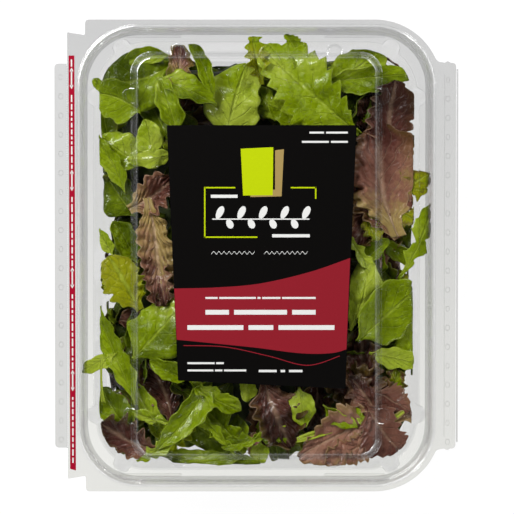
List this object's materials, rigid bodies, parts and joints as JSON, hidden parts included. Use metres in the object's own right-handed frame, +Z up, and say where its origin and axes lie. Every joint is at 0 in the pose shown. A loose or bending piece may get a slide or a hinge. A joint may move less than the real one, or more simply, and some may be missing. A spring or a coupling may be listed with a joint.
{
  "type": "salad clamshell pack",
  "caption": "Sealed clear clamshell pack of mixed salad leaves, lying flat, with a raised lid panel, a dark label, a hinge side and a tear-off seal side.",
  "frame": {"origin": "on the surface the pack lies on, under the middle of its outline", "axes": "+Z up through the lid, +Y along the long side to the pack's top edge, +X towards the hinge"},
  "size_m": [0.2072, 0.2426, 0.0656],
  "materials": {
    "clear_sheet": "clear formed sheet, glossy",
    "red_tape": "printed film, satin",
    "label_print": "satin printed paper with a red band and plain marks",
    "leaves": "fresh leaves, moist, green to red-brown"
  },
  "bodies": {
    "root": {"tray": "clear_sheet", "lid": "clear_sheet", "hinge": "clear_sheet", "tear_tab": "clear_sheet", "seal_tape": "red_tape", "label": "label_print", "salad_leaves": "leaves"}
  },
  "joints": []
}
